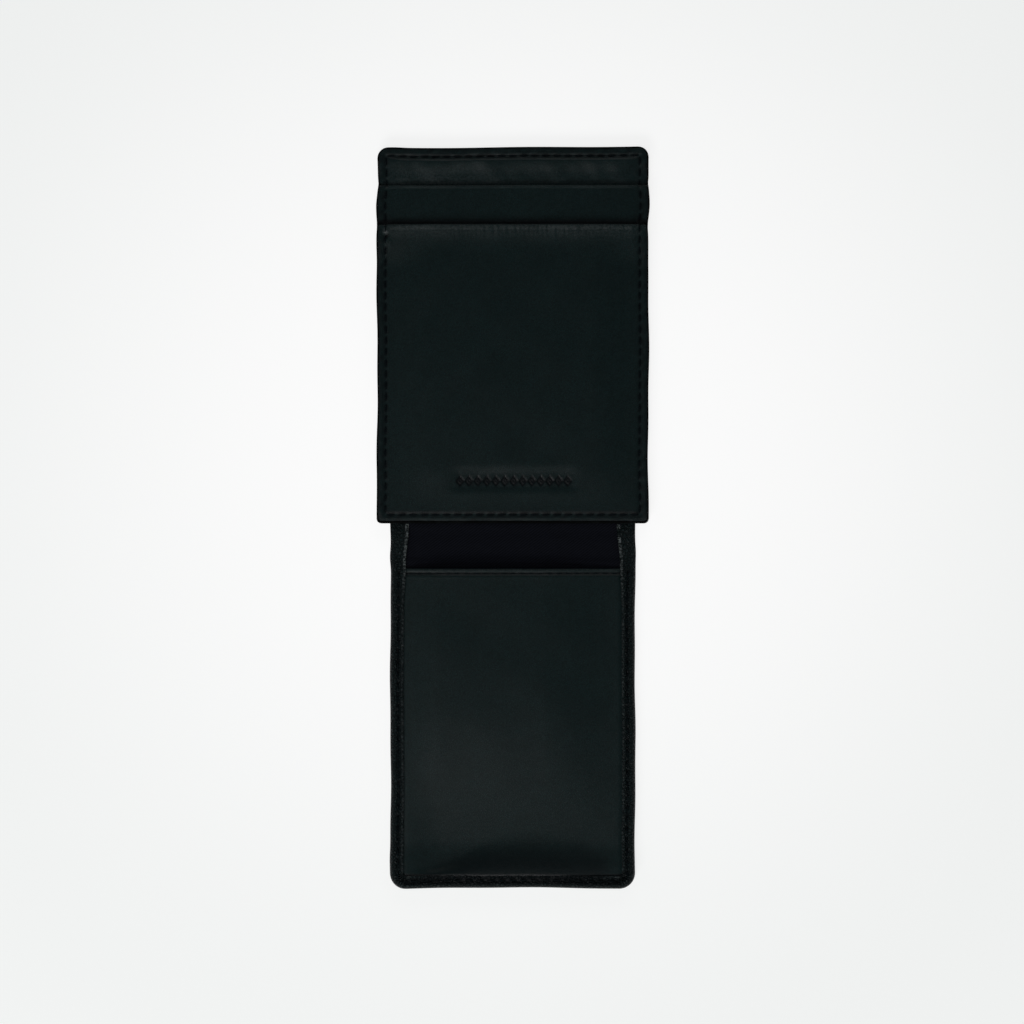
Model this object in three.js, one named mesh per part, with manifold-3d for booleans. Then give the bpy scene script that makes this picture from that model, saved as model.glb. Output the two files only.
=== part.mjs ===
// A bifold pocket wallet in black leather, lying open and flat with its inside up.
//
// The card half is a stack of sheets sewn round its edge: outer cover, stiffener board, back panel and two
// overlapping card slots. A narrower flap is sewn into its lower seam. The flap is a short leather spine and a
// pocket half: an outer cover whose edges are turned in over a board, a twill lining and a pocket panel.
// The wallet folds at both ends of the spine, which brings the pocket half down on the card half.
//
// Every pocket is left open by the thickness of a card. The margins that hold a pocket's sheet down at the
// seam are nodes of their own, so each sheet stays a flat convex plate and the room inside stays free.
//
// Millimetres. +Z is up, +Y runs from the pocket half to the card half. The origin is the middle of the
// open wallet's footprint, on the surface that it lies on.

import * as THREE from 'three';
import { mergeVertices } from 'three/addons/utils/BufferGeometryUtils.js';
import Module from 'manifold-3d';

// ---- driving dimensions ----

const CARD_HALF_WIDTH = 70;
const CARD_HALF_LENGTH = 97;
const FLAP_WIDTH = 63.2;
const SPINE_STRIP = 12; // from the card half's lower edge to the pocket's mouth
const POCKET_LENGTH = 82;

const PLY_GAP = 0.05; // between sheets that touch
const COVER = 0.9; // the card half's outer leather
const PANEL = 0.7; // inner leather
const CLOTH = 0.15; // slot lining and twill
const CARD_BOARD = 0.6;
const CARD_ROOM = 0.85; // free height in a slot, for a card 0.76 thick
const FLAP_COVER = 0.8;
const FLAP_BOARD = 0.5;
const FLAP_ROOM = 0.9;
const TURNED = 0.5; // thinned leather that is turned over an edge
const WRAP = 0.8; // the part of it that stands on the edge

const TOP_RADIUS = 2.8; // the card half's outer corners
const SEAM_RADIUS = 1.3; // its corners at the lower seam
const FLAP_RADIUS = 4.2;

const SLOT_A_DROP = 9.7; // from the card half's top edge to the first slot's mouth
const SLOT_STEP = 10; // from the first mouth to the second
const FACING_HEIGHT = 17; // leather part of the first slot, with cloth below it
const LINING_WIDTH = 60;
const LINING_DROP = 2; // from the first mouth to the cloth's upper edge
const LINING_RISE = 8; // from the card half's lower edge to the cloth's lower edge
const LINING_HEM = 2;
const CARD_MARGIN = 2.6; // width of a sewn margin
const POCKET_MARGIN = 2.15;
const TURN_WIDTH = 3.4; // turned edge beside the pocket
const TURN_WIDTH_UPPER = 4.6; // and at the card half
const TAIL_LENGTH = 8.6; // part of the flap that is sewn inside the card half
const TAIL_CLEARANCE = 0.4; // from the tail's end to the board

const CARD_SEAM_INSET = 2.3; // stitch line to the edge
const FLAP_SEAM_INSET = 2.1;
const HEM_SEAM_DROP = 1.5; // stitch line to the pocket's mouth
const THREAD_WIDTH = 0.5;
const THREAD_HEIGHT = 0.25;
const THREAD_LIFT = 0.02;

// ---- places along the wallet ----

const TOTAL = CARD_HALF_LENGTH + SPINE_STRIP + POCKET_LENGTH;
const CARD_TOP = TOTAL / 2;
const CARD_LOW = CARD_TOP - CARD_HALF_LENGTH;
const MOUTH = CARD_LOW - SPINE_STRIP;
const FLAP_END = -TOTAL / 2;
const SLOT_A_MOUTH = CARD_TOP - SLOT_A_DROP;
const SLOT_B_MOUTH = SLOT_A_MOUTH - SLOT_STEP;
const FACING_LOW = SLOT_A_MOUTH - FACING_HEIGHT;
const CARD_X = CARD_HALF_WIDTH / 2;
const FLAP_X = FLAP_WIDTH / 2;

// ---- heights of the sheets' undersides ----

const BOARD_Z = COVER + PLY_GAP;
const BACK_Z = BOARD_Z + CARD_BOARD + PLY_GAP;
const BACK_TOP = BACK_Z + PANEL;
const LINING_Z = BACK_TOP + CARD_ROOM;
const FACING_Z = LINING_Z + CLOTH + PLY_GAP;
const FACING_TOP = FACING_Z + PANEL;
const SLOT_B_Z = FACING_TOP + CARD_ROOM;
const SLOT_B_TOP = SLOT_B_Z + PANEL;

const FLAP_BOARD_Z = FLAP_COVER + PLY_GAP;
const SPINE_LINING_Z = FLAP_COVER + PLY_GAP;
const SPINE_TURN_Z = SPINE_LINING_Z + CLOTH + PLY_GAP;
const POCKET_LINING_Z = FLAP_BOARD_Z + FLAP_BOARD + PLY_GAP;
const POCKET_LINING_TOP = POCKET_LINING_Z + CLOTH;
const POCKET_Z = POCKET_LINING_TOP + FLAP_ROOM;
const POCKET_TOP = POCKET_Z + PANEL;
const POCKET_TURN_Z = POCKET_TOP + PLY_GAP;

// The wallet folds on two lines, at the card half's lower edge and a little above the pocket's mouth.
const FOLD_A = CARD_LOW - 0.8;
const FOLD_SPAN = 9;
const FOLD_B = FOLD_A - FOLD_SPAN;
const TAIL_SETBACK = 0.45; // the tail stops this far short of the first line
const POCKET_SETBACK = 0.5; // the pocket half's upper layers stop this far short of the second

// ---- finishes ----

const leather = new THREE.MeshStandardMaterial({ color: 0x161a1a, roughness: 0.5, metalness: 0 });
const grained = new THREE.MeshStandardMaterial({ color: 0x121414, roughness: 0.6, metalness: 0 });
const twill = new THREE.MeshStandardMaterial({ color: 0x0c0d14, roughness: 0.9, metalness: 0 });
const board = new THREE.MeshStandardMaterial({ color: 0x3a2f26, roughness: 0.9, metalness: 0 });
const thread = new THREE.MeshStandardMaterial({ color: 0x08090a, roughness: 0.6, metalness: 0 });

// ---- shapes ----

const CORNER_STEPS = 6; // of 15 degrees

// A sheet's outline, centred on x = 0. Its two lower and its two upper corners have their own radius.
function outlineOf(halfWidth, [yLow, yHigh], lowRadius = 0, highRadius = 0) {
  const corners = [
    { side: 1, y: yLow + lowRadius, radius: lowRadius, start: -90 },
    { side: 1, y: yHigh - highRadius, radius: highRadius, start: 0 },
    { side: -1, y: yHigh - highRadius, radius: highRadius, start: 90 },
    { side: -1, y: yLow + lowRadius, radius: lowRadius, start: 180 },
  ];
  const points = corners.flatMap(({ side, y, radius, start }) => {
    const steps = radius ? CORNER_STEPS : 0;
    return Array.from({ length: steps + 1 }, (_, k) => {
      const angle = THREE.MathUtils.degToRad(start + 15 * k);
      const x = side * (halfWidth - radius) + radius * Math.cos(angle);
      return new THREE.Vector2(x, y + radius * Math.sin(angle));
    });
  });
  return new THREE.Shape(points);
}

// A strip on the left (-1) or right (1) side, between two distances from x = 0.
function stripOf(side, [inner, outer], [yLow, yHigh]) {
  return new THREE.Shape([
    new THREE.Vector2(side * inner, yLow),
    new THREE.Vector2(side * outer, yLow),
    new THREE.Vector2(side * outer, yHigh),
    new THREE.Vector2(side * inner, yHigh),
  ]);
}

// An outline given the thickness between two heights.
function thicken(outline, [zLow, zHigh]) {
  const geometry = new THREE.ExtrudeGeometry(outline, { depth: zHigh - zLow, bevelEnabled: false });
  return geometry.translate(0, 0, zLow);
}

// A box that reaches past the wallet on both sides, for cutting.
function crosswise([yLow, yHigh], [zLow, zHigh]) {
  const geometry = new THREE.BoxGeometry(2 * CARD_HALF_WIDTH, yHigh - yLow, zHigh - zLow);
  return geometry.translate(0, (yLow + yHigh) / 2, (zLow + zHigh) / 2);
}

// ---- cutting and joining ----

const wasm = await Module();
wasm.setup();

// A closed three.js geometry as a manifold-3d solid.
function solidOf(geometry) {
  const bare = geometry.clone();
  bare.deleteAttribute('normal');
  bare.deleteAttribute('uv');
  const merged = mergeVertices(bare, 1e-4);
  return new wasm.Manifold(new wasm.Mesh({
    numProp: 3,
    vertProperties: merged.attributes.position.array,
    triVerts: new Uint32Array(merged.index.array),
  }));
}

// A manifold-3d solid as a three.js geometry.
function geometryOf(solid) {
  const { vertProperties, triVerts } = solid.getMesh();
  const geometry = new THREE.BufferGeometry();
  geometry.setAttribute('position', new THREE.BufferAttribute(vertProperties, 3));
  geometry.setIndex(new THREE.BufferAttribute(triVerts, 1));
  return geometry;
}

// Several closed geometries that overlap, as one solid.
function join(...geometries) {
  return geometries.map(solidOf).reduce((whole, piece) => whole.add(piece));
}

// The band between an outline and the same outline moved in by its own width on every side.
function rim(halfWidth, [yLow, yHigh], [zLow, zHigh], [lowRadius, highRadius], width) {
  const outer = thicken(outlineOf(halfWidth, [yLow, yHigh], lowRadius, highRadius), [zLow, zHigh]);
  const insideSpan = [yLow + width, yHigh - width];
  const inside = outlineOf(halfWidth - width, insideSpan, lowRadius - width, highRadius - width);
  return solidOf(outer).subtract(solidOf(thicken(inside, [zLow - 1, zHigh + 1])));
}

// ---- assembly ----

const wallet = new THREE.Group();
const cardHalf = new THREE.Group();
const spine = new THREE.Group();
const pocketHalf = new THREE.Group();
wallet.add(cardHalf, spine, pocketHalf);

const SIDES = [['left', -1], ['right', 1]];

function addPart(parent, name, finish, geometry, height = 0) {
  const part = new THREE.Mesh(geometry, finish);
  part.name = name;
  part.position.z = height;
  parent.add(part);
}

// A flat sheet whose underside lies at a height.
function addSheet(parent, name, finish, outline, height, thickness) {
  addPart(parent, name, finish, thicken(outline, [0, thickness]), height);
}

// ---- card half: backing and the flap's tail ----

const cardOutline = outlineOf(CARD_X, [CARD_LOW, CARD_TOP], SEAM_RADIUS, TOP_RADIUS);
const tailTop = CARD_LOW + TAIL_LENGTH;
const boardOutline = outlineOf(CARD_X, [tailTop + TAIL_CLEARANCE, CARD_TOP], 0, TOP_RADIUS);
const tailOutline = outlineOf(FLAP_X, [FOLD_A + TAIL_SETBACK, tailTop]);

addSheet(cardHalf, 'card_cover', grained, cardOutline, 0, COVER);
addSheet(cardHalf, 'card_board', board, boardOutline, BOARD_Z, CARD_BOARD);
addSheet(cardHalf, 'flap_tail', grained, tailOutline, BOARD_Z, CARD_BOARD);
addSheet(cardHalf, 'card_back_panel', leather, cardOutline, BACK_Z, PANEL);

// ---- card half: first slot ----

// A leather facing goes across the top, and a cloth lining reaches down from it behind the second slot.
const marginX = CARD_X - CARD_MARGIN;
const footZ = BACK_TOP + PLY_GAP;
const facingSpan = [FACING_LOW, SLOT_A_MOUTH];
const liningLow = CARD_LOW + LINING_RISE;
const liningOutline = outlineOf(LINING_WIDTH / 2, [liningLow, SLOT_A_MOUTH - LINING_DROP]);
const liningHemOutline = outlineOf(LINING_WIDTH / 2, [liningLow, liningLow + LINING_HEM]);

addSheet(cardHalf, 'slot_a_facing', leather, outlineOf(CARD_X, facingSpan), FACING_Z, PANEL);
addSheet(cardHalf, 'slot_a_lining', twill, liningOutline, LINING_Z, CLOTH);
addSheet(cardHalf, 'slot_a_lining_hem', twill, liningHemOutline, footZ, LINING_Z - PLY_GAP - footZ);
for (const [label, side] of SIDES) {
  const margin = stripOf(side, [marginX, CARD_X], facingSpan);
  addSheet(cardHalf, `slot_a_margin_${label}`, leather, margin, footZ, FACING_Z - PLY_GAP - footZ);
}

// ---- card half: second slot ----

// One leather panel goes down to the lower seam. Its side margins lie on the facing, and below that on the
// back panel.
const panelOutline = outlineOf(CARD_X, [CARD_LOW, SLOT_B_MOUTH], SEAM_RADIUS);
const lowerMargin = outlineOf(CARD_X, [CARD_LOW, CARD_LOW + CARD_MARGIN], SEAM_RADIUS);
const marginTop = SLOT_B_Z - PLY_GAP;

addSheet(cardHalf, 'slot_b_panel', leather, panelOutline, SLOT_B_Z, PANEL);
addSheet(cardHalf, 'slot_b_margin_bottom', leather, lowerMargin, footZ, marginTop - footZ);
for (const [label, side] of SIDES) {
  const across = [marginX, CARD_X];
  const lowerEnd = CARD_LOW + CARD_MARGIN + PLY_GAP;
  const lowerStrip = stripOf(side, across, [lowerEnd, FACING_LOW - PLY_GAP]);
  const upperStrip = stripOf(side, across, [lowerEnd, SLOT_B_MOUTH]);
  const onBackPanel = thicken(lowerStrip, [footZ, marginTop]);
  const onFacing = thicken(upperStrip, [FACING_TOP + PLY_GAP, marginTop]);
  addPart(cardHalf, `slot_b_margin_${label}`, leather, geometryOf(join(onBackPanel, onFacing)));
}

// ---- card half: seam ----

// One seam runs round the whole card half and steps down at each mouth. A tall rim is cut to that path.
function onSheet(span, top) {
  const lifted = top + THREAD_LIFT;
  return crosswise(span, [lifted, lifted + THREAD_HEIGHT]);
}

function stepDown(mouth, high, low) {
  const start = mouth + PLY_GAP;
  return crosswise([start, start + THREAD_HEIGHT], [low + THREAD_LIFT, high + THREAD_LIFT + THREAD_HEIGHT]);
}

const seamInset = CARD_SEAM_INSET - THREAD_WIDTH / 2;
const seamSpan = [CARD_LOW + seamInset, CARD_TOP - seamInset];
const seamRim = rim(CARD_X - seamInset, seamSpan, [BACK_TOP, SLOT_B_TOP + 1], [1, 1.2], THREAD_WIDTH);
const stepDepth = PLY_GAP + THREAD_HEIGHT;
const seamPath = join(
  onSheet([CARD_LOW, SLOT_B_MOUTH + stepDepth], SLOT_B_TOP),
  stepDown(SLOT_B_MOUTH, SLOT_B_TOP, FACING_TOP),
  onSheet([SLOT_B_MOUTH + PLY_GAP, SLOT_A_MOUTH + stepDepth], FACING_TOP),
  stepDown(SLOT_A_MOUTH, FACING_TOP, BACK_TOP),
  onSheet([SLOT_A_MOUTH + PLY_GAP, CARD_TOP], BACK_TOP),
);
addPart(cardHalf, 'card_seam_thread', thread, geometryOf(seamRim.intersect(seamPath)));

// ---- turned edges ----

// A turned edge: a wrap that stands on the flap's edge, and a flange that lies inward from its top. The
// flange's width may change from the lower end to the upper one.
function turnedEdge(side, [yLow, yHigh], wrapFoot, flangeZ, lowWidth, highWidth) {
  const flange = new THREE.Shape([
    new THREE.Vector2(side * FLAP_X, yLow),
    new THREE.Vector2(side * (FLAP_X - lowWidth), yLow),
    new THREE.Vector2(side * (FLAP_X - highWidth), yHigh),
    new THREE.Vector2(side * FLAP_X, yHigh),
  ]);
  const flangeTop = flangeZ + TURNED;
  const wrap = stripOf(side, [FLAP_X - WRAP, FLAP_X], [yLow, yHigh]);
  return join(thicken(flange, [flangeZ, flangeTop]), thicken(wrap, [wrapFoot, flangeTop]));
}

// ---- spine ----

const insideX = FLAP_X - WRAP - PLY_GAP;
const spineSpan = [FOLD_B + PLY_GAP, FOLD_A - PLY_GAP];

addSheet(spine, 'spine_cover', grained, outlineOf(FLAP_X, spineSpan), 0, FLAP_COVER);
addSheet(spine, 'spine_lining', twill, outlineOf(insideX, spineSpan), SPINE_LINING_Z, CLOTH);
for (const [label, side] of SIDES) {
  const wrapFoot = FLAP_COVER + PLY_GAP;
  const edge = turnedEdge(side, spineSpan, wrapFoot, SPINE_TURN_Z, TURN_WIDTH, TURN_WIDTH_UPPER);
  addPart(spine, `spine_turned_edge_${label}`, grained, geometryOf(edge));
}

// ---- pocket half: sheets ----

const insideRadius = FLAP_RADIUS - WRAP - PLY_GAP;
const insideEnd = FLAP_END + WRAP + PLY_GAP;
const upperEnd = FOLD_B - POCKET_SETBACK;
const cornerEnd = FLAP_END + FLAP_RADIUS;
const coverOutline = outlineOf(FLAP_X, [FLAP_END, FOLD_B - PLY_GAP], FLAP_RADIUS);
const fillOutline = outlineOf(insideX, [insideEnd, upperEnd], insideRadius);
const pocketOutline = outlineOf(insideX, [insideEnd, MOUTH], insideRadius);
const endMargin = outlineOf(insideX, [insideEnd, cornerEnd - PLY_GAP], insideRadius - PLY_GAP);
const pocketFootZ = POCKET_LINING_TOP + PLY_GAP;
const pocketMarginHeight = POCKET_Z - PLY_GAP - pocketFootZ;

addSheet(pocketHalf, 'pocket_cover', grained, coverOutline, 0, FLAP_COVER);
addSheet(pocketHalf, 'pocket_board', board, fillOutline, FLAP_BOARD_Z, FLAP_BOARD);
addSheet(pocketHalf, 'pocket_lining', twill, fillOutline, POCKET_LINING_Z, CLOTH);
addSheet(pocketHalf, 'pocket_panel', leather, pocketOutline, POCKET_Z, PANEL);
addSheet(pocketHalf, 'pocket_margin_bottom', leather, endMargin, pocketFootZ, pocketMarginHeight);
for (const [label, side] of SIDES) {
  const margin = stripOf(side, [insideX - POCKET_MARGIN, insideX], [cornerEnd, MOUTH]);
  addSheet(pocketHalf, `pocket_margin_${label}`, leather, margin, pocketFootZ, pocketMarginHeight);
}

// ---- pocket half: turned edge ----

// It is split where the corners begin, into an end that holds both corners and two sides. A side drops from
// the pocket panel to the lining at the mouth.
const turnTop = POCKET_TURN_Z + TURNED;
const flapSpan = [FLAP_END, MOUTH];
const flapRadii = [FLAP_RADIUS, FLAP_RADIUS];
const wrapBand = rim(FLAP_X, flapSpan, [FLAP_BOARD_Z, turnTop], flapRadii, WRAP);
const flangeBand = rim(FLAP_X, flapSpan, [POCKET_TURN_Z, turnTop], flapRadii, TURN_WIDTH);
const endRegion = solidOf(crosswise([FLAP_END - 1, cornerEnd - PLY_GAP], [0, turnTop + 1]));

addPart(pocketHalf, 'turned_edge_end', grained, geometryOf(wrapBand.add(flangeBand).intersect(endRegion)));
for (const [label, side] of SIDES) {
  const onPanel = turnedEdge(side, [cornerEnd, MOUTH], FLAP_BOARD_Z, POCKET_TURN_Z, TURN_WIDTH, TURN_WIDTH);
  const onLining = turnedEdge(side, [MOUTH, upperEnd], FLAP_BOARD_Z, pocketFootZ, TURN_WIDTH, TURN_WIDTH);
  addPart(pocketHalf, `turned_edge_${label}`, grained, geometryOf(onPanel.add(onLining)));
}

// ---- pocket half: seams ----

// The main seam follows the turned edge from mouth to mouth. A straight row holds the pocket's hem.
const bandInset = FLAP_SEAM_INSET - THREAD_WIDTH / 2;
const bandZ = turnTop + THREAD_LIFT;
const bandRadius = FLAP_RADIUS - bandInset;
const bandSpan = [FLAP_END + bandInset, MOUTH + 2 * FLAP_RADIUS];
const bandRing = rim(
  FLAP_X - bandInset,
  bandSpan,
  [bandZ, bandZ + THREAD_HEIGHT],
  [bandRadius, bandRadius],
  THREAD_WIDTH,
);
const belowMouth = solidOf(crosswise([FLAP_END, MOUTH - PLY_GAP], [0, bandZ + 1]));
addPart(pocketHalf, 'pocket_seam_thread', thread, geometryOf(bandRing.intersect(belowMouth)));

const hemY = MOUTH - HEM_SEAM_DROP;
const hemRow = outlineOf(
  FLAP_X - TURN_WIDTH - THREAD_LIFT,
  [hemY - THREAD_WIDTH / 2, hemY + THREAD_WIDTH / 2],
);
addSheet(pocketHalf, 'pocket_hem_thread', thread, hemRow, POCKET_TOP + THREAD_LIFT, THREAD_HEIGHT);

export default wallet;
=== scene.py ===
"""Bifold wallet, open and flat: leather, twill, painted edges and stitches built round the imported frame.

Lengths are in millimetres until a mesh is made, X across, Y towards the card half's top, Z up.
"""
import math

import bpy
import numpy as np
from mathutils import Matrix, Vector


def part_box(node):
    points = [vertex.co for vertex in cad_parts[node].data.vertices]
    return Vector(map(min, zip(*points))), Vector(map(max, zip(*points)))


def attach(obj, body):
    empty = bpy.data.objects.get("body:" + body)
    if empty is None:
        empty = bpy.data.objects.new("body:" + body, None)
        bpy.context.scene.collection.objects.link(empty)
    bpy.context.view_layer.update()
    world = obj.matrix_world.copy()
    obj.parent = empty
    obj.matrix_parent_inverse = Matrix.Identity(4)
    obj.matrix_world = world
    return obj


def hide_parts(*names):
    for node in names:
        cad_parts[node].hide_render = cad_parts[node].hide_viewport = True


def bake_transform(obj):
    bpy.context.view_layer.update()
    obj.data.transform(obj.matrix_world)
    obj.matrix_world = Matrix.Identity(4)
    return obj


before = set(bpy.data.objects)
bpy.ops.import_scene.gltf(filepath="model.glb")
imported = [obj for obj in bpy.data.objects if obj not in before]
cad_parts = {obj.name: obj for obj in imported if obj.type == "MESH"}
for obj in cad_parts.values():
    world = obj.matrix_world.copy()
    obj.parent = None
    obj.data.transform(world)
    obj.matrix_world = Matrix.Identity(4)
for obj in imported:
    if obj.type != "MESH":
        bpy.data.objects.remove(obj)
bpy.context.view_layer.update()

MM = 0.001


def span(node):
    """Lowest and highest corner of a CAD node, in millimetres."""
    low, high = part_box(node)
    return np.array(low) / MM, np.array(high) / MM


# ---------------------------------------------------------------- sizes
CARD_X, CARD_TOP, CARD_COVER = span("card_cover")[1]
CARD_LOW = span("card_cover")[0][1]
SLOT_A = span("slot_a_facing")[1][1]
FACING_LOW = span("slot_a_facing")[0][1]
SLOT_B = span("slot_b_panel")[1][1]
FLAP_X = span("pocket_cover")[1][0]
FLAP_END = span("pocket_cover")[0][1]
MOUTH = span("pocket_panel")[1][1]
FOLD_B, FOLD_A = span("spine_cover")[0][1], span("spine_cover")[1][1]
SPINE_MID = (FOLD_A + FOLD_B) / 2
BACK_UNDER, BACK_TOP = span("card_back_panel")[0][2], span("card_back_panel")[1][2]

PLY = 0.7  # inner leather
TOP_RADIUS = 2.8
SEAM_RADIUS = 1.3
FLAP_RADIUS = 4.2
CARD_INSET = 2.3  # stitch line to the card half's edge
FLAP_INSET = 2.1
HEM_DROP = 1.25
PITCH = 2.85
HEM_PITCH = 2.4
PAINT = 0.15  # the painted edge stands this far outside the cut leather
COVER_INSET = 3.0  # the flap's turned edge takes over from its cover here
STAMP_X, STAMP_Y = 0.3, 9.45
STAMP_LONG, STAMP_HIGH = 30.0, 3.0

CARD_AREA = (CARD_X, CARD_LOW, CARD_TOP)
FLAP_AREA = (FLAP_X, FLAP_END, CARD_TOP)


# ---------------------------------------------------------------- curves
def ease(low, high, x):
    """Rises smoothly from 0 at low to 1 at high: 3t² − 2t³ of the share t of the way."""
    t = np.clip((x - low) / (high - low), 0, 1)
    return t * t * (3 - 2 * t)


def bell(x, centre, width):
    """Bell curve: e to the power of minus the square of (x − centre) / width."""
    return np.exp(-(((x - centre) / width) ** 2))


def ripple(x, y, length, seed):
    """Soft random swell of about −1 to 1: seven sine waves near that length, in random directions, added."""
    draw = np.random.default_rng(seed)
    turn, phase = draw.uniform(0, 2 * np.pi, (2, 7))
    wave = 2 * np.pi / (length * draw.uniform(0.7, 1.5, 7))
    return sum(
        np.sin(k * (x * np.cos(t) + y * np.sin(t)) + p) for k, t, p in zip(wave, turn, phase)
    ) / 3.5


def graded(low, high, spacing):
    """Grid lines from low to high, spacing(position) apart.

    They stand at equal steps of the running sum of 1 / spacing.
    """
    x = np.linspace(low, high, 6001)
    count = np.concatenate([[0], np.cumsum(np.diff(x) / spacing((x[1:] + x[:-1]) / 2))])
    steps = max(2, round(count[-1]))
    return np.interp(np.linspace(0, count[-1], steps + 1), count, x)


def closer_at_edges(low, high, coarse, edges=(True, True), zone=None, zone_step=0.2):
    """Grid lines that draw together towards the chosen ends, and inside a zone (from, to)."""

    def spacing(x):
        step = np.full_like(x, coarse)
        for wanted, end in zip(edges, (low, high)):
            if wanted:
                step = np.minimum(step, 0.05 + 0.13 * np.abs(x - end))
        if zone:
            step = np.where((x > zone[0]) & (x < zone[1]), np.minimum(step, zone_step), step)
        return step

    return graded(low, high, spacing)


def settle(points):
    """Hand-cut and worn outline: edges wander by a few tenths of a millimetre, the same for every ply there.

    Sideways shift grows with the sixth power of the share of the half width, so only margins move.
    """
    x, y, z = points.T
    card = ease(-2.5, 1.0, y)
    flap = 1 - card
    share = np.clip(np.abs(x) / CARD_X, 0, 1.1) ** 6
    left = x < 0
    bulge = 0.3 * bell(y, 80.5, 3.2) + 0.12 * bell(y, 71, 4)
    bulge = bulge - 0.15 * bell(y, 86, 1.3) - 0.1 * bell(y, 75, 1.6)
    wander = 0.13 * np.sin(y / 8.3 + np.where(left, 0.4, 2.6))
    wander = wander + 0.07 * np.sin(y / 3.1 + np.where(left, 1.9, 0))
    knock = 0.28 * bell(y, -10.3, 2.6) + 0.16 * bell(y, -88, 3)
    knock = np.where(left, knock, 0.14 * bell(y, -9, 2.4))
    swell = card * (bulge + wander) + flap * (knock + 0.8 * wander)
    reach = np.where(card > 0.5, share, np.clip(np.abs(x) / FLAP_X, 0, 1.1) ** 6)
    top = 0.24 * x / CARD_X + 0.16 * bell(x, -31, 3) + 0.08 * np.sin(x / 6.2 + 1)
    end = 0.42 * np.cos(np.pi * x / (2 * FLAP_X)) - 0.32 + 0.06 * np.sin(x / 4.1)
    top, end = top * ease(78, CARD_TOP, y), end * ease(-80, FLAP_END, y)
    return np.stack([x + np.sign(x) * reach * swell, y + top + end, z], 1)


# ---------------------------------------------------------------- materials
class Value:
    """A value that varies over a surface. Arithmetic on it adds the Math nodes that work it out."""

    def __init__(self, recipe, socket):
        self.recipe, self.socket = recipe, socket

    def __add__(self, other):
        return self.recipe.math("ADD", self, other)

    def __sub__(self, other):
        return self.recipe.math("SUBTRACT", self, other)

    def __rsub__(self, other):
        return self.recipe.math("SUBTRACT", other, self)

    def __mul__(self, other):
        return self.recipe.math("MULTIPLY", self, other)

    def __truediv__(self, other):
        return self.recipe.math("DIVIDE", self, other)

    def __pow__(self, other):
        return self.recipe.math("POWER", self, other)

    __radd__ = __add__
    __rmul__ = __mul__


class Recipe:
    """A material being made, with the few kinds of node that this wallet's finishes need."""

    def __init__(self, name):
        self.material = bpy.data.materials.new(name)
        self.material.use_nodes = True
        self.tree = self.material.node_tree
        self.shader = self.tree.nodes["Principled BSDF"]

    def node(self, kind, settings, sockets, output=0):
        """Adds a node: its settings first, then the values or links of its sockets."""
        made = self.tree.nodes.new("ShaderNode" + kind)
        for key, value in settings.items():
            setattr(made, key, value)
        for key, value in sockets.items():
            if isinstance(value, Value):
                self.tree.links.new(value.socket, made.inputs[key])
            else:
                made.inputs[key].default_value = value
        return Value(self, made.outputs[output])

    def math(self, operation, *values):
        """A Math node: one operation on values and numbers."""
        return self.node("Math", {"operation": operation}, dict(enumerate(values)))

    def own(self, name, output="Fac"):
        """A value stored on the piece's mesh."""
        return self.node("Attribute", {"attribute_name": name}, {}, output)

    def noise(self, place, length, detail=2.0, output=0):
        """Cloudy noise whose lumps are about length millimetres across."""
        sockets = {"Vector": place, "Scale": 1 / length, "Detail": detail}
        return self.node("TexNoise", {}, sockets, output)

    def cells(self, place, size, feature):
        """Voronoi cells about size millimetres across."""
        return self.node("TexVoronoi", {"feature": feature}, {"Vector": place, "Scale": 1 / size})

    def waves(self, place, length, way):
        """Straight ridges length millimetres apart, one after another along X or Y."""
        sockets = {"Vector": place, "Scale": 1 / length / 3.1831}
        return self.node("TexWave", {"bands_direction": way}, sockets)

    def step(self, value, low, high):
        """0 below low, 1 above high, smooth between."""
        sockets = {"Value": value, "From Min": low, "From Max": high}
        return self.node("MapRange", {"interpolation_type": "SMOOTHSTEP"}, sockets)

    def mix(self, share, first, second):
        """Goes from the first colour to the second as share goes from 0 to 1."""
        sockets = {0: share, 6: colour(first), 7: colour(second)}
        return self.node("Mix", {"data_type": "RGBA"}, sockets, 2)

    def shifted(self, place, by, amount):
        """A place moved by a noise's colour, amount millimetres at most each way."""
        centred = self.node("VectorMath", {"operation": "SUBTRACT"}, {0: by, 1: (0.5, 0.5, 0.5)})
        sockets = {0: centred, 1: (2 * amount,) * 3, 2: place}
        return self.node("VectorMath", {"operation": "MULTIPLY_ADD"}, sockets)

    def turned(self, place, angle, stretch=(1, 1, 1)):
        """A place turned about Z by an angle in degrees and then stretched."""
        sockets = {"Vector": place, "Rotation": (0, 0, math.radians(angle)), "Scale": stretch}
        return self.node("Mapping", {"vector_type": "POINT"}, sockets)

    def finish(self, bump=None, depth=0.05, **sockets):
        """Sets the shader's sockets; bump is a height from 0 to 1, depth its size in millimetres."""
        if bump is not None:
            heights = {"Height": bump, "Distance": depth * MM, "Strength": 1.0}
            sockets["Normal"] = self.node("Bump", {}, heights)
        for key, value in sockets.items():
            target = self.shader.inputs[key.replace("_", " ")]
            if isinstance(value, Value):
                self.tree.links.new(value.socket, target)
            else:
                target.default_value = value
        return self.material


def colour(value):
    """What a colour socket takes: a link as it is, three numbers with an alpha of 1 added."""
    return value if isinstance(value, Value) else (*value, 1.0)


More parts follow.
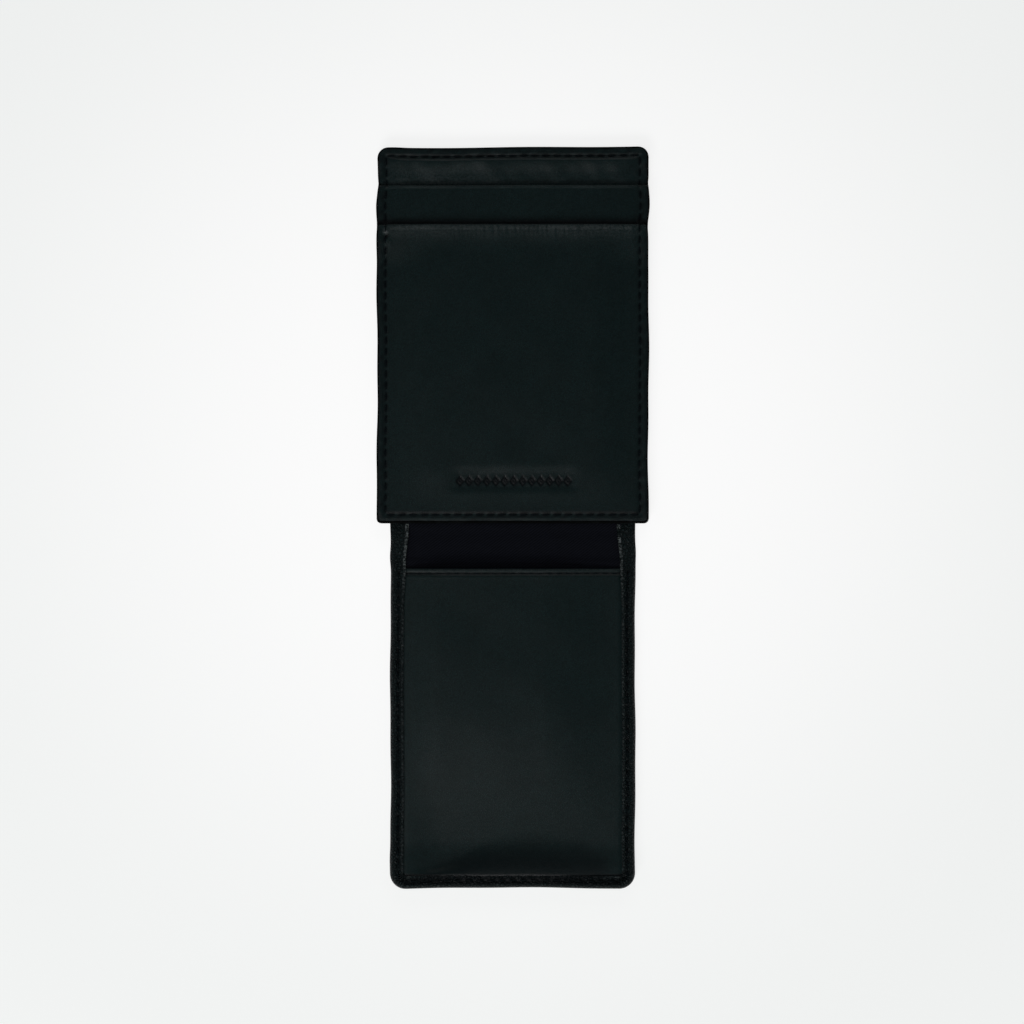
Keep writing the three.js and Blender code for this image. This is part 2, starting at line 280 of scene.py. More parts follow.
def leather(name, base, highlight_colour, cell, depth, rough, specular):
    """Leather: cells parted by fine creases over a finer grain, in soft patches of tone.

    The value stored on its mesh is painted light: above 0 a painted highlight makes it paler, below 0
    painted shade makes it dark and dull.
    """
    r = Recipe(name)
    place = r.own("rest", "Vector")
    bent = r.shifted(place, r.noise(place, cell * 1.6, output="Color"), cell * 0.3)
    crease = r.step(r.cells(bent, cell, "DISTANCE_TO_EDGE"), 0.0, 0.3)
    grain = r.noise(place, cell * 0.28, 3.0)
    patch = r.noise(place, 7.0, 2.0)
    cloud = r.noise(place, 1.7, 2.0)
    painted_light = r.own("painted_light")
    # the painted light split in two: above 0 a painted highlight, below 0 painted shade
    rub_and_highlight, painted_shade = r.math("MAXIMUM", painted_light, 0), r.math("MAXIMUM", painted_light * -1, 0)
    tone = r.step(patch * 0.65 + cloud * 0.35, 0.3, 0.7)
    plain = r.mix(tone, [c * 0.86 for c in base], [c * 1.16 for c in base])
    creased = r.mix(crease, [c * 0.45 for c in base], plain)
    # painted highlight: mixes towards the pale highlight colour in speckled patches
    highlighted = r.mix(rub_and_highlight * r.step(r.noise(place, 0.55, 2.0), 0.35, 0.65), creased, highlight_colour)
    height = crease * 0.62 + grain * 0.3 + cloud * 0.4
    return r.finish(
        bump=height,
        depth=depth,
        # painted shade: mixes towards a near-black copy of the base colour
        Base_Color=r.mix(painted_shade, highlighted, (base[0] * 0.08, base[1] * 0.11, base[2] * 0.16)),
        Roughness=rough + 0.1 * (1 - crease) + 0.07 * (cloud - 0.5) - 0.06 * rub_and_highlight - 0.05 * painted_shade,
        Specular_IOR_Level=specular,
    )


def twill_cloth(name, dark, light):
    """Twill: slanted ridges 0.58 mm apart, broken into threads, with slubs that darken a few of them."""
    r = Recipe(name)
    place = r.own("rest", "Vector")
    bent = r.shifted(place, r.noise(place, 2.2, output="Color"), 0.06)
    ridge = r.waves(r.turned(bent, 54), 0.58, "X")
    threads = r.waves(bent, 0.21, "Y")
    slub = r.noise(r.turned(place, 0, (0.35, 2.6, 1)), 0.9, 2.0)
    weave = ridge * 0.72 + threads * 0.28
    shade = r.step(weave * 0.75 + slub * 0.5, 0.25, 0.95)
    return r.finish(
        bump=weave + slub * 0.35,
        depth=0.07,
        Base_Color=r.mix(shade, dark, light),
        Roughness=0.82 + 0.1 * slub,
        Specular_IOR_Level=0.08,
        Sheen_Weight=0.05,
        Sheen_Roughness=0.5,
        Sheen_Tint=(0.75, 0.8, 1.0, 1.0),
    )


def edge_paint(name):
    """Edge paint: a thick, half glossy coat with low lumps, rubbed a little on its crest."""
    r = Recipe(name)
    place = r.own("rest", "Vector")
    lumps = r.noise(place, 1.1, 3.0)
    fine = r.noise(place, 0.22, 2.0)
    rub_and_highlight = r.step(r.noise(place, 2.6, 2.0), 0.45, 0.75)
    return r.finish(
        bump=lumps * 0.8 + fine * 0.2,
        depth=0.09,
        Base_Color=r.mix(rub_and_highlight, (0.0008, 0.0012, 0.0012), (0.0030, 0.0042, 0.0044)),
        Roughness=0.56 + 0.18 * fine,
        Specular_IOR_Level=0.05,
    )


def waxed_thread(name):
    """Waxed thread: two strands laid round each other, as slanted ridges."""
    r = Recipe(name)
    place = r.own("rest", "Vector")
    strands = r.waves(r.turned(place, 38), 0.34, "X")
    fibre = r.noise(place, 0.12, 3.0)
    return r.finish(
        bump=strands * 0.75 + fibre * 0.3,
        depth=0.06,
        Base_Color=r.mix(strands, (0.0006, 0.0022, 0.0034), (0.0030, 0.0085, 0.0110)),
        Roughness=0.48 + 0.2 * fibre,
        Specular_IOR_Level=0.10,
    )


def fibre_board(name):
    """Grey-brown fibre board: specks and short fibres pressed flat."""
    r = Recipe(name)
    place = r.node("TexCoord", {}, {}, "Object")
    fibres = r.noise(r.turned(place, 20, (1, 4, 1)), 0.9 * MM, 4.0)
    specks = r.noise(place, 0.3 * MM, 2.0)
    tone = r.step(fibres * 0.7 + specks * 0.3, 0.35, 0.7)
    return r.finish(
        bump=fibres,
        depth=0.05,
        Base_Color=r.mix(tone, (0.035, 0.026, 0.019), (0.085, 0.066, 0.05)),
        Roughness=0.85 + 0.1 * specks,
    )


# The second colour of each leather is the pale colour of its painted highlights.
INNER = leather("inner_leather", (0.0062, 0.0202, 0.0212), (0.034, 0.046, 0.048), 0.34, 0.028, 0.365, 0.23)
GRAINED = leather("grained_leather", (0.0030, 0.0080, 0.0086), (0.085, 0.100, 0.102), 0.60, 0.16, 0.34, 0.15)
# The turned edge is the grained shell leather with a brighter base and highlight colour, a painted sheen in
# place of most of its specular.
TURNED_PAINTED_SHEEN = leather("turned_leather", (0.0092, 0.0170, 0.0180), (0.150, 0.170, 0.172), 0.85, 0.36, 0.37, 0.10)
TWILL = twill_cloth("twill", (0.0014, 0.0016, 0.0034), (0.0068, 0.0079, 0.0130))
EDGE = edge_paint("edge_paint")
THREAD = waxed_thread("waxed_thread")
BOARD = fibre_board("fibre_board")


# ---------------------------------------------------------------- making meshes
def grid_faces(rows, columns, around=False, flip=False):
    """Quads of a rows × columns grid, anticlockwise where columns run right and rows run up."""
    index = np.arange(rows * columns).reshape(rows, columns)
    if around:
        index = np.concatenate([index, index[:, :1]], 1)
    quads = np.stack([index[:-1, :-1], index[:-1, 1:], index[1:, 1:], index[1:, :-1]], -1).reshape(-1, 4)
    return quads[:, ::-1] if flip else quads


def make_piece(name, points, faces, finish, painted_light=0.0):
    """A mesh at the origin, with each point's place at rest and its painted light (highlight above 0, shade
    below 0) kept as attributes.
    """
    points = settle(np.asarray(points, float))
    mesh = bpy.data.meshes.new(name)
    mesh.from_pydata((points * MM).tolist(), [], faces)
    mesh.attributes.new("rest", "FLOAT_VECTOR", "POINT").data.foreach_set("vector", points.ravel())
    painted_light = np.broadcast_to(np.asarray(painted_light, float).ravel(), len(points))
    mesh.attributes.new("painted_light", "FLOAT", "POINT").data.foreach_set("value", painted_light.astype(np.float32))
    mesh.shade_smooth()
    mesh.set_sharp_from_angle(angle=math.radians(58))
    mesh.materials.append(finish)
    piece = bpy.data.objects.new(name, mesh)
    bpy.context.scene.collection.objects.link(piece)
    return piece


def round_corners(x, y, half, low, high, r_low, r_high):
    """Squeezes the square at each corner into a quarter disc and gives each point's distance to the outline.

    With a and b running 0 to 1 from the disc's centre to the two edges, the point goes to
    r·a·√(1 − b²/2) and r·b·√(1 − a²/2).
    """
    side, flat = np.where(x < 0, -1, 1), np.abs(x)
    distance = np.minimum(half - flat, np.minimum(y - low, high - y))
    for radius, end, way in ((r_low, low, -1), (r_high, high, 1)):
        if radius > 0:
            a = np.clip((flat - half) / radius + 1, 0, 1)
            b = np.clip((y - end) * way / radius + 1, 0, 1)
            corner = (a > 0) & (b > 0)
            out, up = a * np.sqrt(1 - b * b / 2), b * np.sqrt(1 - a * a / 2)
            flat = np.where(corner, half - radius + radius * out, flat)
            y = np.where(corner, end + way * radius * (up - 1), y)
            distance = np.where(corner, radius * (1 - np.hypot(out, up)), distance)
    return side * flat, y, distance


def ply(name, area, radii, top, finish, thick=PLY, under=None, step=0.6, square=(), zone=(None, None),
        painted_light=None):
    """One sheet of leather or cloth inside a rounded rectangle, closed all round.

    Its upper face is top(x, y), its lower face under(x, y) or thick below. Near an outline that isn't square
    both close on their middle: the half thickness goes as √(1 − (1 − d/e)²) of the distance d to it.
    """
    half, low, high = area
    xs = closer_at_edges(-half, half, step, ("sides" not in square,) * 2, zone[0])
    ys = closer_at_edges(low, high, step, ("low" not in square, "high" not in square), zone[1])
    x, y = np.meshgrid(xs, ys)
    x, y, _ = round_corners(x, y, half, low, high, *radii)
    ends = {
        "sides": half if "sides" not in square else 1e6,
        "low": low if "low" not in square else -1e6,
        "high": high if "high" not in square else 1e6,
    }
    _, _, distance = round_corners(x, y, ends["sides"], ends["low"], ends["high"], 0, 0)
    for radius, end, way in ((radii[0], low, -1), (radii[1], high, 1)):
        if radius > 0:
            out, up = np.abs(x) - half + radius, (y - end) * way + radius
            distance = np.where((out > 0) & (up > 0), radius - np.hypot(out, up), distance)
    upper = top(x, y)
    lower = upper - thick if under is None else under(x, y)
    reach = np.mean(upper - lower) / 2
    full = np.sqrt(np.clip(1 - (1 - np.clip(distance / reach, 0, 1)) ** 2, 0, 1))
    middle, open_by = (upper + lower) / 2, (upper - lower) / 2 * full
    rows, columns = x.shape
    above = np.arange(rows * columns).reshape(rows, columns)
    below = above + rows * columns
    if "sides" not in square:
        below[:, [0, -1]] = above[:, [0, -1]]
    if "low" not in square:
        below[0] = above[0]
    if "high" not in square:
        below[-1] = above[-1]
    quads = grid_faces(rows, columns)
    walls = []
    for key, upper_line, lower_line in (
        ("low", above[0], below[0]),
        ("high", above[-1][::-1], below[-1][::-1]),
        ("sides", above[:, -1], below[:, -1]),
        ("sides", above[::-1, 0], below[::-1, 0]),
    ):
        if key in square:
            first = np.stack([lower_line[:-1], lower_line[1:], upper_line[1:]], 1)
            second = np.stack([lower_line[:-1], upper_line[1:], upper_line[:-1]], 1)
            walls += [t for t in np.concatenate([first, second]).tolist() if len(set(t)) == 3]
    both = [np.stack([x, y, middle + open_by], -1), np.stack([x, y, middle - open_by], -1)]
    points = np.concatenate(both).reshape(-1, 3)
    every = np.concatenate([quads, below.ravel()[quads[:, ::-1]]])
    used, faces = np.unique(every, return_inverse=True)
    renumber = dict(zip(used.tolist(), range(len(used))))
    faces = faces.reshape(every.shape).tolist() + [[renumber[i] for i in t] for t in walls]
    # painted light for each point: highlight above 0, shade below 0
    tone = np.zeros(x.size) if painted_light is None else painted_light(x, y).ravel()
    return make_piece(name, points[used], faces, finish, np.concatenate([tone, tone])[used])


def rectangle_path(half, low, high, r_low, r_high, step, corner_steps, start_high=None):
    """Points along a rounded rectangle, anticlockwise from the left side's top, and the way inwards at each.

    With start_high given the path is open: it starts and ends there, on the left and right sides.
    """
    top = high - r_high if start_high is None else start_high
    sides = []

    def straight(a, b, inward):
        count = max(2, int(math.dist(a, b) / step))
        share = np.linspace(0, 1, count, endpoint=False)[:, None]
        along = np.array(a) + share * (np.array(b) - a)
        sides.append(np.concatenate([along, np.tile(inward, (count, 1))], 1))

    def corner(centre, radius, start):
        angle = math.radians(start) + np.linspace(0, math.pi / 2, corner_steps, endpoint=False)
        out = np.stack([np.cos(angle), np.sin(angle)], 1)
        sides.append(np.concatenate([np.array(centre) + radius * out, -out], 1))

    straight((-half, top), (-half, low + r_low), (1, 0))
    corner((r_low - half, low + r_low), r_low, 180)
    straight((r_low - half, low), (half - r_low, low), (0, 1))
    corner((half - r_low, low + r_low), r_low, 270)
    straight((half, low + r_low), (half, top), (-1, 0))
    if start_high is None:
        corner((half - r_high, high - r_high), r_high, 0)
        straight((half - r_high, high), (r_high - half, high), (0, -1))
        corner((r_high - half, high - r_high), r_high, 90)
    else:
        sides.append(np.array([[half, top, -1, 0]], float))
    return np.concatenate(sides)


def carry(name, path, inset, height, finish, closed, painted_light=0.0):
    """A closed profile carried along a path: each point lies inset from it, at height.

    inset and height are stations × profile points; the profile runs clockwise with inwards to the right.
    """
    place = path[:, None, :2] + inset[..., None] * path[:, None, 2:]
    points = np.concatenate([place, height[..., None]], -1).reshape(-1, 3)
    stations, around = inset.shape
    if closed:
        index = np.arange(stations * around).reshape(stations, around)
        index = np.concatenate([index, index[:1]], 0)
        index = np.concatenate([index, index[:, :1]], 1)
        faces = np.stack([index[:-1, :-1], index[1:, :-1], index[1:, 1:], index[:-1, 1:]], -1)
        faces = faces.reshape(-1, 4).tolist()
    else:
        faces = grid_faces(stations, around, around=True, flip=True).tolist()
        faces += [list(range(around)), list(range(stations * around - 1, (stations - 1) * around - 1, -1))]
    return make_piece(name, points, faces, finish, painted_light)


def stitch_faces():
    """One stitch's 56 faces: seven rings of eight points, with a small face at each end."""
    quads = grid_faces(7, 8, around=True).tolist()
    return quads, [list(range(7, -1, -1)), list(range(48, 56))]


def stitches(name, rows, finish, long=2.15, wide=0.30):
    """Every stitch of the seams as one mesh. A row: centre x, y, z, the direction's x and y, up (1 or −1).

    Along a stitch a runs −1 to 1: its radius is wide/2·√(1 − 0.8·a⁴) and it arches as 1 − a².
    """
    rows = np.asarray(rows, float)
    a = np.linspace(-1, 1, 7)[:, None]
    angle = np.linspace(0, 2 * np.pi, 8, endpoint=False)[None]
    radius = wide / 2 * np.sqrt(1 - 0.8 * a**4)
    along = (a * long / 2 + 0 * angle).ravel()
    across = (radius * np.cos(angle)).ravel()
    rise = (radius * np.sin(angle) * 0.85 + 0.16 * (1 - a * a) - 0.12).ravel()
    centre, way, up = rows[:, None, :3], rows[:, None, 3:5], rows[:, None, 5]
    side = np.stack([-way[..., 1], way[..., 0]], -1) * up[..., None]
    flat = centre[..., :2] + along[None, :, None] * way + across[None, :, None] * side
    points = np.concatenate([flat, (centre[..., 2] + rise[None] * up)[..., None]], -1)
    quads, caps = stitch_faces()
    shift = 56 * np.arange(len(rows))[:, None, None]
    faces = (np.array(quads)[None] + shift).reshape(-1, 4).tolist()
    faces += (np.array(caps)[None] + shift).reshape(-1, 8).tolist()
    return make_piece(name, points.reshape(-1, 3), faces, finish)


# ---------------------------------------------------------------- seams
def run_of(length, pitch=PITCH):
    """How many stitches fill a length, and the length of each."""
    count = max(1, round(length / pitch))
    return count, length / count


def seam_line(x, y, area, inset):
    """A seam on the leather: 1 along its stitch line, falling off beside it; then at its holes only."""
    half, low, high = area
    across, bottom, top = half - inset, low + inset, high - inset
    pitch_x, pitch_y = run_of(2 * across)[1], run_of(top - bottom)[1]
    on_side = bell(np.abs(x), across, 0.42) * ease(bottom - 0.5, bottom, y) * ease(top + 0.5, top, y)
    on_end = np.maximum(bell(y, bottom, 0.42), bell(y, top, 0.42)) * ease(across + 0.5, across, np.abs(x))
    hole_side = on_side * (0.5 + 0.5 * np.cos(2 * np.pi * (y - bottom) / pitch_y)) ** 3
    hole_end = on_end * (0.5 + 0.5 * np.cos(2 * np.pi * (x + across) / pitch_x)) ** 3
    return np.maximum(on_side, on_end), np.maximum(hole_side, hole_end)


def seam_dip(x, y, area, inset):
    """How far a seam presses the leather down: a groove along it, deeper at each needle hole."""
    line, hole = seam_line(x, y, area, inset)
    return 0.18 * line + 0.10 * hole


def seam_rows(area, inset, surface, up, open_top=False, top_at=None):
    """Stitch centres along a seam: left side, lower end, right side and, unless it is open, the top."""
    half, low, high = area
    across, bottom, top = half - inset, low + inset, high - inset
    count_x, pitch_x = run_of(2 * across)
    count_y, pitch_y = run_of(top - bottom)
    xs = -across + pitch_x * (np.arange(count_x) + 0.5)
    ys = bottom + pitch_y * (np.arange(count_y) + 0.5)
    ys = ys if top_at is None else ys[ys < top_at]
    rows = [(x, bottom, 1, 0) for x in xs] + [(side * across, y, 0, 1) for side in (-1, 1) for y in ys]
    rows += [] if open_top else [(x, top, 1, 0) for x in xs]
    rows = np.array(rows, float)
    z = surface(rows[:, 0], rows[:, 1])
    return np.column_stack([rows[:, :2], z, rows[:, 2:], np.full(len(rows), up)])


# ---------------------------------------------------------------- the card half's shapes
def card_margin(y):
    """Height of the sewn margin: a ply more below each slot's mouth, a ply less below the facing's end."""
    rise = PLY * ease(SLOT_A + 0.15, SLOT_A - 0.25, y)
    rise = rise + (PLY + 0.05) * ease(SLOT_B + 0.15, SLOT_B - 0.25, y)
    return BACK_TOP + rise - PLY * ease(FACING_LOW + 2.5, FACING_LOW - 4.5, y) + thick_top(y)


def thick_top(y):
    """The back panel is thicker along its top edge."""
    return 0.4 * ease(SLOT_A + 2.5, CARD_TOP - 3.2, y)


def card_pillow(x, y):
    """Soft fullness outside the stitches: it rolls down to the lower edge and up to the top one."""
    side, low, high = CARD_X - np.abs(x), y - CARD_LOW, CARD_TOP - y
    edge = np.minimum(side, np.minimum(low, high))
    roll = 0.05 * ease(2.0, 0.7, high) - 0.20 * ease(1.7, 0.1, low)
    sides = 0.14 * bell(side, 1.0, 0.62) * ease(1, 3, low) * ease(1, 3, high)
    return roll + sides + 0.035 * bell(edge, 1.1, 1.2) * ripple(x, y, 3.5, 2)


def card_painted_shade(x, y):
    """Painted shade: dark along the stitches (a little paler at the needle holes between them), beside the
    painted edge, unevenly across the margin between them, and in a line just above the lower seam.
    """
    edge = np.minimum(CARD_X - np.abs(x), np.minimum(y - CARD_LOW, CARD_TOP - y))
    margin_shade = 0.28 * ease(2.2, 1.6, edge) * (1 + 0.9 * ripple(x, y, 2.3, 41))
    below = 0.7 * bell(y, CARD_LOW + CARD_INSET + 0.6, 0.35) * ease(2.0, 3.0, CARD_X - np.abs(x))
    line, hole = seam_line(x, y, CARD_AREA, CARD_INSET)
    return -np.clip(1.1 * line - 1.3 * hole + bell(edge, 0.15, 0.42) + margin_shade + below, -0.5, 1)


def back_top(x, y):
    """Back panel: fullest just below the top seam, falling towards the first mouth, flat in the slots."""
    side = CARD_X - np.abs(x)
    strip = (y - SLOT_A) / (CARD_TOP - CARD_INSET - SLOT_A)
    full = ease(2.3, 6.0, side) * ease(-0.25, 0.85, strip) * ease(1.0, 0.82, strip)
    loose = ease(-0.1, 0.3, strip) * ease(2.3, 5, side)
    uneven = 1 + 0.25 * ease(5, -12, x) + 0.25 * ripple(x, y, 10, 3)
    swell = 0.72 * full * uneven + 0.08 * loose * ripple(x, y, 5, 4)
    return BACK_TOP + thick_top(y) + swell + card_pillow(x, y) - seam_dip(x, y, CARD_AREA, CARD_INSET)


def strip_painted_light(x, y):
    """Painted highlight: paler towards the first mouth, most at the left, over the card half's painted
    shade.
    """
    return card_painted_shade(x, y) + ease(SLOT_A + 6.5, SLOT_A + 2, y) * (0.12 + 0.22 * ease(5, -14, x))


def facing_top(x, y):
    """First slot's facing: sewn down at both sides, lifted between, its mouth curled up over the slot."""
    side, drop = CARD_X - np.abs(x), SLOT_A - y
    crown = (ease(2.4, 6.0, side) + ease(2.4, 12.0, side)) / 2
    lip = 0.21 * bell(drop, 0, 0.7) * (1 + 0.5 * ripple(x, 0 * y, 9, 42))
    lip = lip - 0.05 * bell(drop, 1.2, 0.28)
    swell = crown * (0.5 + 0.05 * ripple(x, y, 8, 5)) + lip * ease(0.5, 3.5, side)
    return BACK_TOP + PLY + swell + card_pillow(x, y) - seam_dip(x, y, CARD_AREA, CARD_INSET)


def lozenges(x, y):
    """Stamped ornament: outlined lozenges in a row, each with a dot. 1 is pressed fully."""
    u = (x - STAMP_X) / STAMP_LONG + 0.5
    v = (y - STAMP_Y) / (STAMP_HIGH / 2)
    count = 13
    cell = (u * count) % 1 - 0.5
    rim = np.abs(cell) * 2 / 0.84 + np.abs(v) / 0.86
    line = bell(rim, 0.80, 0.32)
    dot = bell(np.hypot(cell * 1.9, v), 0, 0.27)
    return np.maximum(line, dot) * ((u > 0) & (u < 1))


def slot_b_top(x, y):
    """Second slot's panel: sewn down at the sides and the lower seam, full between, its mouth curled.

    The stamp lies in a shallow pressed field, and a crease runs into the left seam below the mouth.
    """
    side, drop, rise = CARD_X - np.abs(x), SLOT_B - y, y - CARD_LOW
    crown = ease(2.5, 15, side) * ease(2.4, 15, rise)
    level = BACK_TOP + 1.35 + 0.55 * ease(4, 40, y) + 0.07 * ripple(x, y, 13, 6)
    lip = 0.30 * bell(drop, 0, 1.6) + 0.80 * bell(drop, 0, 3.9) - 0.04 * bell(drop, 1.9, 0.24)
    lip = lip * (1 + 0.15 * ease(8, 28, x))
    pucker = 0.07 * ripple(x, y * 0.18, 1.3, 7) * bell(drop, 2.0, 1.8)
    field = ease(1.2, 0.88, np.abs(x - STAMP_X) / (STAMP_LONG / 2))
    field = field * ease(4.4, 1.4, y - STAMP_Y) * ease(-3.2, -1.3, y - STAMP_Y)
    field = field * (1 + 0.12 * ripple(x, y, 5, 8))
    knot = 0.40 * bell(x, -32.7, 0.5) * bell(y, 73.8, 0.9) - 0.3 * bell(x, -32.2, 0.4) * bell(y, 72.6, 0.6)
    crease = knot + 0.22 * bell(np.abs(x + 32.3), 0.45 * (71.6 - y), 0.3) * bell(y, 70.6, 1.0)
    swell = (level - card_margin(y)) * crown + (lip + pucker) * ease(0.3, 4.5, side)
    press = 0.30 * field + 0.20 * lozenges(x, y)
    raised = card_margin(y) + swell + card_pillow(x, y) + crease
    return raised - press - seam_dip(x, y, CARD_AREA, CARD_INSET)


def facing_painted_light(x, y):
    """Painted highlight along its mouth and painted shadow just above the second slot's mouth, over the card
    half's painted shade.
    """
    return card_painted_shade(x, y) + 0.2 * bell(SLOT_A - y, 0.4, 0.3) - ease(SLOT_B + 1.1, SLOT_B + 0.3, y)


def slot_b_painted_light(x, y):
    """Painted highlight along the mouth and a painted glint on the left seam's knot; painted shade in the
    stamp and around it, and in the hole under the knot.
    """
    knot = bell(x, -32.7, 0.45) * bell(y, 73.8, 0.8)
    knot = knot + 0.5 * bell(np.abs(x + 32.3), 0.45 * (71.6 - y), 0.25) * bell(y, 70.6, 0.9)
    hole = 1.4 * bell(x, -32.2, 0.4) * bell(y, 72.6, 0.55)
    mouth = 0.25 * bell(SLOT_B - y, 1.2, 0.6) + 0.2 * bell(SLOT_B - y, 2.4, 1.6)
    mouth = mouth * (1 + 0.6 * ease(4, 24, x))
    row = (np.abs(y - STAMP_Y) < 3) & (np.abs(x - STAMP_X) < STAMP_LONG / 2)
    stamp = (1.3 * lozenges(x, y) + 0.5 * bell(y, STAMP_Y, 1.4)) * row
    plain = card_painted_shade(x, y) * (1 - np.clip(1.5 * knot, 0, 1))
    return plain + mouth + 1.6 * knot - hole - np.clip(stamp, 0, 1)


def card_top(x, y):
    """The uppermost leather of the card half."""
    return np.where(y > SLOT_A, back_top(x, y), np.where(y > SLOT_B, facing_top(x, y), slot_b_top(x, y)))


def cover_under(x, y):
    """Outer face of the card half: flat, with the seam's groove."""
    return seam_dip(x, y, CARD_AREA, CARD_INSET) * 1.1


CUT = (CARD_X - PAINT, CARD_LOW + PAINT, CARD_TOP - PAINT)
CUT_RADII = (SEAM_RADIUS - PAINT, TOP_RADIUS - PAINT)

card_cover = ply(
    "card_cover_leather", CUT, CUT_RADII, lambda x, y: 0 * x + CARD_COVER, GRAINED,
    under=cover_under, painted_light=card_painted_shade,
)
back_sheet = ply(
    "back_panel_leather", CUT, CUT_RADII, back_top, INNER,
    zone=(None, (SLOT_A - 1, CARD_TOP)), painted_light=strip_painted_light,
)
facing_sheet = ply(
    "slot_a_facing_leather", (CUT[0], FACING_LOW, SLOT_A - 0.2), (0, 0), facing_top, INNER,
    zone=(None, (SLOT_A - 3, SLOT_A)), painted_light=facing_painted_light,
)
slot_b_sheet = ply(
    "slot_b_leather", (CUT[0], CUT[1], SLOT_B - 0.45), (CUT_RADII[0], 0), slot_b_top, INNER,
    step=0.62, zone=((STAMP_X - 15.8, STAMP_X + 15.8), (STAMP_Y - 2.6, STAMP_Y + 2.6)), painted_light=slot_b_painted_light,
)

board_low, board_high = span("card_board")
card_board = ply(
    "card_board_fibre", (CARD_X - 1.0, board_low[1], CARD_TOP - 1.0), (0, TOP_RADIUS - 1.0),
    lambda x, y: 0 * x + board_high[2], BOARD, under=lambda x, y: 0 * x + board_low[2], step=4,
    square=("low", "high", "sides"),
)
lining_low, lining_high = span("slot_a_lining")


def lining_top(x, y):
    """The first slot's cloth: lies just under the facing at its sides and rises a little between them."""
    return BACK_TOP + 0.2 + 0.18 * ease(5, 14, CARD_X - np.abs(x)) * (1 + 0.3 * ripple(x, y, 14, 9))


slot_lining = ply(
    "slot_a_lining_cloth", (lining_high[0], lining_low[1], lining_high[1]), (0, 0), lining_top,
    TWILL, thick=0.16, step=1.4,
)


def painted_edge(name, area, radii, low_at, high_at):
    """Painted edge round the plies: a flattened half ellipse outside, closed by a line inside.

    Going up, the inset is 0.42·(1 − |cos t|^0.5) and the height the middle plus half of it times sin t.
    """
    path = rectangle_path(*area, *radii, 0.5, 8)
    t = np.linspace(-np.pi / 2, np.pi / 2, 13)
    low, high = low_at(path)[:, None], high_at(path)[:, None]
    middle, reach = (low + high) / 2, (high - low) / 2
    inset = 0.42 * (1 - np.abs(np.cos(t)) ** 0.5)[None] + 0 * middle
    height = middle + reach * np.sign(np.sin(t)) * np.abs(np.sin(t)) ** 0.85
    inset = np.concatenate([inset, 0.75 + 0 * middle, 0.75 + 0 * middle], 1)
    height = np.concatenate([height, high - 0.25, low + 0.25], 1)
    return carry(name, path, inset, height, EDGE, True)


def over_flap(path):
    """1 where the flap passes under the card half's lower edge, otherwise 0."""
    return ease(FLAP_X + 0.9, FLAP_X + 0.3, np.abs(path[:, 0])) * (path[:, 1] < CARD_LOW + 0.5)


lower_edge = painted_edge(
    "card_cover_painted_edge", CARD_AREA, (SEAM_RADIUS, TOP_RADIUS),
    lambda path: 0.02 + 0 * path[:, 0], lambda path: CARD_COVER + 0.0 * path[:, 0],
)
upper_edge = painted_edge(
    "card_panel_painted_edge", CARD_AREA, (SEAM_RADIUS, TOP_RADIUS),
    lambda path: CARD_COVER + 0.06 + (BACK_UNDER - CARD_COVER + 0.02) * over_flap(path),
    lambda path: card_margin(path[:, 1]) + 0.05,
)
card_stitches = stitches(
    "card_seam_stitches",
    np.concatenate([
        seam_rows(CARD_AREA, CARD_INSET, lambda x, y: card_top(x, y) + 0.12, 1),
        seam_rows(CARD_AREA, CARD_INSET, lambda x, y: cover_under(x, y) + 0.04, -1),
    ]),
    THREAD,
)


# ---------------------------------------------------------------- the flap
def climb(y):
    """The flap leaves the table and slips in between the card half's plies: 0 at the spine, 1 inside."""
    return ease(-4.6, -1.5, y)


TAIL_TOP = BACK_UNDER - 0.14
TAIL_UNDER = CARD_COVER + 0.03
FLAP_UNDER, FLAP_TOP = 0.02, 0.78
LINING, LINING_INSET = 0.12, 1.7
SPINE_TURN_TOP = 1.62
TURN_DEEP = 1.15  # from the flap's edge to where its turned leather lies flat
TURN_THIN = 0.45
ARC, FLAT = 13, 17  # profile points round the edge and across the turned part
tail_end = span("flap_tail")[1][1]


def flap_top(x, y):
    """Upper face of the flap's cover: level, then up into the gap between the plies."""
    return FLAP_TOP + (TAIL_TOP - FLAP_TOP) * climb(y)


def flap_under(x, y):
    """Lower face of the flap's cover, which goes up with the upper one."""
    return FLAP_UNDER + (TAIL_UNDER - FLAP_UNDER) * climb(y)


def turn_width(y):
    """Width of the turned edge: widest at the card half."""
    return 3.45 + 0.5 * ease(-24, -13, y) + 0.8 * ease(-13, -1.5, y)


def turn_height(y):
    """Top of the turned edge: over the twill in the spine, over the pocket's leather below its mouth."""
    gather = 0.70 * ease(FLAP_END + 12, FLAP_END + 3.5, y)
    return SPINE_TURN_TOP + 1.3 * ease(MOUTH + 3.2, MOUTH - 2.2, y) + gather - 0.02 * climb(y)


